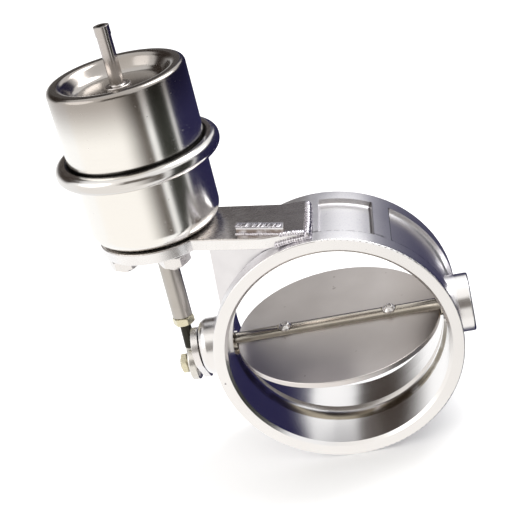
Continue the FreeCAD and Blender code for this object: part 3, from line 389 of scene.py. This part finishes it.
# painted shade: dark lines along the pockets' side walls
corner = cast.between(around, *POCKET_SIDES[0]) + cast.between(around, *POCKET_SIDES[1])
corner = corner * cast.between(y, *POCKET_DEPTH) * outside
speckle = cast.rise(cast.noise(520, roughness=0.6), 0.42, 0.56)
front_line = cast.between(y, *FLANGE_BACK) * skinned * speckle
colour = cast.blend(blotch, (0.77, 0.755, 0.75), (0.85, 0.84, 0.835))
colour = cast.blend(skinned * 0.5, colour, (0.92, 0.91, 0.94))
colour = cast.blend(cast.rise(grain, 0.45, 0.70) * skinned * 0.30, colour, (0.58, 0.56, 0.66))
colour = cast.blend(pits * (1 - bored) * 0.7, colour, (0.20, 0.19, 0.20))
# dark painted shade in the pocket corners, and the speckled line behind the flange
colour = cast.blend(corner * 0.85 + front_line * 0.6, colour, (0.10, 0.085, 0.09))
# brown painted shade under the seat ledge
colour = cast.blend(ledge_shade * 0.85, colour, (0.26, 0.21, 0.13))
rough = 0.18 + blotch * 0.06 + skinned * 0.07 + grain * 0.06 - bored * 0.04
relief = grain * (0.12 + skinned * 0.7) * (1 - bored) - pits * 0.8 * (1 - bored) + turning * 0.1 * bored
dress(cast.wear(colour, rough, relief, depth=0.00002), "valve_housing")

# %% [markdown]
# The bracket is cut from hot-rolled plate and brushed by hand. Its top is the darkest bare metal
# on the valve, with long brush marks along the strip and brown specks, and a painted dark
# reflection deepens it towards the ring. Its cut edges are pale. The web is the same plate with a
# paler skin, and a patchy brown painted shade darkens its tab just above the plate, where it comes
# up through it. A long brush mark is plain noise whose coordinates are squeezed across the strip
# and left wide along it.

# %% Bracket plate and web
REFLECTION_REACH = (0.012, 0.040)             # metres left of the bore's axis, from dark to plain
PLATE_TOP = (0.0454, 0.0458)            # height of the bracket's top face
TAB_TOP = (0.0455, 0.0477, 0.0004)
plate = Metal("brushed_plate")
brush = plate.noise(1, detail=4.0, roughness=0.6, place=plate.mapped(scale=(60.0, 2600.0, 2600.0)))
cloud = plate.noise(160, detail=4.0, roughness=0.65)
# painted dark reflection: the plate darkens towards the ring
painted_reflection = 1 - plate.rise(plate.axis("X") * -1, *REFLECTION_REACH)
specks = plate.rise(plate.noise(700, roughness=0.6), 0.52, 0.66)
top = plate.rise(plate.axis("Z"), *PLATE_TOP)
cut_edge = plate.blend(cloud, (0.76, 0.75, 0.75), (0.88, 0.87, 0.87))
colour = plate.blend(cloud, (0.52, 0.49, 0.475), (0.68, 0.655, 0.64))
colour = plate.blend(specks * 0.30, colour, (0.40, 0.33, 0.27))
# painted dark reflection towards the ring
colour = plate.blend(painted_reflection * 0.60, colour, (0.24, 0.215, 0.205))
colour = plate.blend(top, cut_edge, colour)
rough = 0.16 + brush * 0.12 + cloud * 0.10
dress(plate.wear(colour, rough, brush * 0.5 + specks * 0.3, depth=0.000006), "actuator_bracket")
web = Metal("pale_web_plate")
brush = web.noise(1, detail=4.0, roughness=0.6, place=web.mapped(scale=(2400.0, 2400.0, 60.0)))
# painted shade: patchy dark brown on the tab just above the plate
tab_foot_shade = web.between(web.axis("Z"), *TAB_TOP) * web.rise(web.noise(420), 0.25, 0.55)
colour = web.blend(web.noise(180), (0.68, 0.67, 0.69), (0.78, 0.77, 0.79))
colour = web.blend(tab_foot_shade * 0.9, colour, (0.20, 0.155, 0.13))
dress(web.wear(colour, 0.24 + brush * 0.16, brush * 0.4, depth=0.000008), "bracket_web")

# %% [markdown]
# The can is drawn stainless, polished on a lathe, so its brush marks run round it. An anisotropic
# shader could stretch the highlights the same way. Here the marks are noise on the distance from
# the can's axis and on the height, hardly changing round it. A painted shade darkens the can
# towards its dished top, and a near-black painted shade fills the gap where the crimp ring grips
# the cups.

# %% Drawn can
CAN_X, CAN_Y = -0.0556, 0.0292
TOP_SHADE = (0.086, 0.1035)              # heights between which the painted shade comes in
CRIMP_GAP = (0.0740, 0.0783, 0.0003)
LINES_PER_METRE = 7000
SCRATCH_TURN, SCRATCH_SCALE = (0.5, 0.3, 0.9), (900, 60, 900)


# seam sets the painted shade in the crimp gap, top_shade the painted shade towards the top
def lathe_brushed(name, low, high, smooth, depth, seam=0.0, top_shade=0.0):
    metal = Metal(name)
    place = metal.mapped(shift=(-CAN_X, -CAN_Y, 0.0))
    x, y, z = metal.axis("X", place), metal.axis("Y", place), metal.axis("Z", place)
    lines = metal.together(metal.ring(x, y) * LINES_PER_METRE, metal.round(x, y) * 4, z * LINES_PER_METRE)
    brush = metal.noise(1, roughness=0.6, place=lines)
    cloud = metal.noise(70, roughness=0.6)
    stretched = metal.mapped(turn=SCRATCH_TURN, scale=SCRATCH_SCALE)
    scratch = metal.rise(metal.noise(1, detail=2.0, place=stretched), 0.68, 0.74)
    colour = metal.blend(brush, low, high)
    # painted shade: darker towards the can's dished top
    colour = metal.blend(metal.rise(z, *TOP_SHADE) * top_shade, colour, (0.20, 0.17, 0.15))
    # painted shade: near-black where the crimp ring grips the cups
    colour = metal.blend(metal.between(z, *CRIMP_GAP) * seam, colour, (0.03, 0.028, 0.025))
    rough = smooth + brush * 0.06 + cloud * 0.06 + scratch * 0.10
    return metal.wear(colour, rough, brush * 0.5 - scratch * 0.3, depth)


# seam and top_shade give the strength of the two painted shades
can_steel = lathe_brushed(
    "drawn_can", (0.79, 0.77, 0.735), (0.86, 0.845, 0.81), smooth=0.12, depth=0.0000012,
    seam=0.92, top_shade=0.78)
dress(can_steel, "actuator_lower_can", "actuator_upper_can")
crimp_steel = lathe_brushed(
    "rolled_crimp", (0.60, 0.58, 0.56), (0.72, 0.70, 0.68), smooth=0.12, depth=0.0000015)
dress(crimp_steel, "crimp_ring")
nipple_steel = lathe_brushed(
    "turned_nipple", (0.42, 0.39, 0.37), (0.56, 0.53, 0.51), smooth=0.14, depth=0.000003)
dress(nipple_steel, "vacuum_nipple")

# %% [markdown]
# The disc is punched from sheet and sees hot gas, so it is duller than the rest. It has fine
# scratches and a few dark marks. A painted light makes it paler at its lower left, and a painted
# shade darkens it at its right. The two broad changes are straight ramps across the disc, which are
# enough for something so soft.

# %% Disc
PAINTED_LIGHT_SIDE, PAINTED_SHADE_SIDE = (-0.020, 0.022), (0.014, 0.036)
disc = Metal("scratched_disc")
mottle = disc.noise(60)
stretched = disc.mapped(turn=(0.0, 0.35, 0.0), scale=(1800, 500, 150))
fine = disc.noise(1, roughness=0.6, place=stretched)
marks = disc.rise(disc.noise(230, detail=2.0), 0.72, 0.76)
# painted light: paler towards the lower left
painted_light = disc.rise(disc.axis("X") * -1 - disc.axis("Y"), *PAINTED_LIGHT_SIDE)
# painted shade: darker towards the right
painted_shade = disc.rise(disc.axis("X"), *PAINTED_SHADE_SIDE)
colour = disc.blend(mottle, (0.50, 0.46, 0.435), (0.64, 0.60, 0.575))
colour = disc.blend(painted_light * 0.55, colour, (0.80, 0.77, 0.765))
colour = disc.blend(painted_shade * 0.45, colour, (0.24, 0.20, 0.17))
colour = disc.blend(marks * 0.5, colour, (0.26, 0.22, 0.20))
rough = 0.27 + mottle * 0.10 + fine * 0.06
dress(disc.wear(colour, rough, fine * 0.4 - marks * 0.4, depth=0.00001), "butterfly_disc")

# %% [markdown]
# The shaft and the rod are ground bar, whose marks run round it. The marks are noise that is
# squeezed along the bar's own axis. The lever, nuts and screws are milled steel, with the same
# noise even in all directions.

# %% Shaft, rod and small steel
def ground_bar(name, scale, low, high, smooth):
    metal = Metal(name)
    brush = metal.noise(1, roughness=0.6, place=metal.mapped(scale=scale))
    cloud = metal.noise(140, roughness=0.6)
    colour = metal.blend(cloud, low, high)
    return metal.wear(colour, smooth + brush * 0.08 + cloud * 0.06, brush * 0.5, depth=0.000001)


shaft_steel = ground_bar(
    "ground_shaft", (5000, 300, 300), (0.48, 0.44, 0.38), (0.62, 0.58, 0.51), smooth=0.18)
dress(shaft_steel, "valve_shaft", "lever_pin")
rod_steel = ground_bar("ground_rod", (300, 300, 5000), (0.42, 0.40, 0.37), (0.52, 0.49, 0.46), smooth=0.26)
dress(rod_steel, "actuator_rod")
milled = ground_bar("milled_steel", (900, 900, 900), (0.72, 0.70, 0.69), (0.84, 0.82, 0.81), smooth=0.20)
dress(milled, "shaft_lever", "rod_end_ball", "shaft_end_plug", "stud_nuts", "mounting_studs",
      "disc_screws", "retainer_plate", "piston_cup", "thrust_washer")

# %% [markdown]
# The lock nut and the pin nut are zinc plated, which gives a pale straw tint. Bronze bushes carry
# the shaft, and the seal and the diaphragm are rubber. They differ in colour, roughness and
# metallic only, so one maker does for all.

# %% Plating, bronze, rubber and spring wire
def plated(name, low, high, smooth, metallic=1.0):
    metal = Metal(name, metallic)
    cloud = metal.noise(900, roughness=0.6)
    colour = metal.blend(cloud, low, high)
    return metal.wear(colour, smooth + cloud * 0.15, cloud, depth=0.00001)


zinc = plated("straw_zinc", (0.60, 0.56, 0.40), (0.74, 0.70, 0.54), smooth=0.20)
dress(zinc, "rod_lock_nut", "pin_nut", "piston_nut")
bronze = plated("sintered_bronze", (0.45, 0.32, 0.18), (0.60, 0.45, 0.28), smooth=0.35)
dress(bronze, "shaft_bush_left", "shaft_bush_right")
rubber = plated("moulded_rubber", (0.018, 0.018, 0.018), (0.035, 0.035, 0.035), smooth=0.60, metallic=0.0)
dress(rubber, "shaft_seal", "diaphragm")
wire = plated("spring_wire", (0.28, 0.28, 0.30), (0.40, 0.40, 0.42), smooth=0.28)
dress(wire, "return_spring")

# %% [markdown]
# The rod end is one piece with two finishes: its threaded neck is blackened, its eye is worn
# bright. Two materials on chosen faces would do, with a hard border. Here the distance from the
# pin's axis tells the two apart in one material, and the border is soft, as wear is.

# %% Rod end
PIN_Y, PIN_Z = 0.0256, -0.0090
EYE_END = (0.0066, 0.0073)              # radius round the pin where the bright eye ends
rod_end = Metal("blackened_neck_bright_eye")
from_pin = rod_end.ring(rod_end.axis("Y") - PIN_Y, rod_end.axis("Z") - PIN_Z)
cloud = rod_end.noise(900, roughness=0.6)
bright = rod_end.blend(cloud, (0.64, 0.62, 0.58), (0.80, 0.78, 0.74))
colour = rod_end.blend(rod_end.rise(from_pin, *EYE_END), bright, (0.035, 0.034, 0.028))
dress(rod_end.wear(colour, 0.20 + cloud * 0.12, cloud, depth=0.000004), "rod_end")

# %% [markdown]
# The bracket plate is welded to the ring by hand, and the web's tab is plug welded from above.
# A hand-made bead is a row of small pools, each frozen over the one before. So each bead starts as
# overlapping drops along the seam, slightly uneven in size and place. They are joined and remeshed
# into one closed skin, which keeps the ripples. An extruded half round would be too even.

# %% Weld beads
MM = 1000                               # millimetres in a metre
DROP_SEGMENTS, DROP_RINGS, MELT_VOXEL = 20, 12, 0.00011
SWELL, SIDEWAYS, UPWARDS = (0.90, 1.08), (-0.06, 0.06), (-0.03, 0.03)
ripple = random.Random(11)


def bead(name, seam, width, thick, pace=0.85):
    """Drops along the seam, given in millimetres, melted into one piece."""
    drops = []
    for first, last in zip(seam, seam[1:]):
        first, last = Vector(first) / MM, Vector(last) / MM
        run = last - first
        heading = run.to_track_quat("X", "Z").to_euler()
        count = max(2, round(run.length / (pace / MM)))
        for step in range(count):
            swell = ripple.uniform(*SWELL)
            drift = Vector((0, ripple.uniform(*SIDEWAYS), ripple.uniform(*UPWARDS))) * width / MM
            bpy.ops.mesh.primitive_uv_sphere_add(
                segments=DROP_SEGMENTS, ring_count=DROP_RINGS, radius=1 / MM,
                location=first + run * (step / count) + drift, rotation=heading,
                scale=(pace * 0.95, width * 0.5 * swell, thick * swell))
            drops.append(bpy.context.object)
    bpy.ops.object.select_all(action="DESELECT")
    for drop in drops:
        drop.select_set(True)
    bpy.context.view_layer.objects.active = drops[0]
    bpy.ops.object.join()
    bpy.ops.object.transform_apply(location=True, rotation=True, scale=True)
    piece = bpy.context.object
    piece.name = name
    melt = piece.modifiers.new("melt", "REMESH")
    melt.mode, melt.voxel_size = "VOXEL", MELT_VOXEL
    bpy.ops.object.modifier_apply(modifier="melt")
    bpy.ops.object.shade_smooth()
    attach(piece, "valve_body")
    return piece


PLATE_FRONT = [(-10.4, 4.1, 46.0), (-6.2, 3.6, 46.0), (-2.2, 3.4, 45.4)]
UNDER_EDGE = [(-12.5, 3.4, 42.7), (-7.5, 3.3, 43.4), (-1.6, 3.1, 43.7)]
PLATE_END = [(-1.7, 3.0, 44.3), (-1.4, 12.0, 44.5), (-1.5, 20.0, 44.4), (-1.7, 27.6, 44.3)]
beads = [
    bead("bead_tab_top", [(-25.3, 12.8, 48.2), (-9.8, 6.5, 48.2)], width=3.4, thick=0.26, pace=0.7),
    bead("bead_tab_front", [(-25.9, 10.4, 46.1), (-9.3, 3.7, 46.1)], width=1.0, thick=0.45, pace=0.7),
    bead("bead_plate_front", PLATE_FRONT, width=2.4, thick=0.8),
    bead("bead_under_edge", UNDER_EDGE, width=2.0, thick=0.9),
    bead("bead_plate_end", PLATE_END, width=2.5, thick=1.5, pace=1.0)]
print("beads:", len(beads), "faces:", sum(len(piece.data.polygons) for piece in beads))

# %% [markdown]
# Fresh weld metal is bright, with a faint violet tint from the heat and dark specks of scale. The
# ripples are real geometry already, so the finish only adds the tint, from a broad noise, and the
# specks, from a fine one.

# %% Weld finish
weld = Metal("rippled_weld")
scale = weld.rise(weld.noise(1100, roughness=0.6), 0.58, 0.70)
tint = weld.noise(330)
colour = weld.blend(tint, (0.50, 0.47, 0.53), (0.76, 0.74, 0.75))
colour = weld.blend(scale * 0.8, colour, (0.10, 0.075, 0.085))
weld.wear(colour, 0.20 + tint * 0.12 + scale * 0.30, scale * -1, depth=0.00002)
for piece in beads:
    piece.data.materials.clear()
    piece.data.materials.append(weld.material)
print("rippled_weld nodes:", len(weld.nodes))
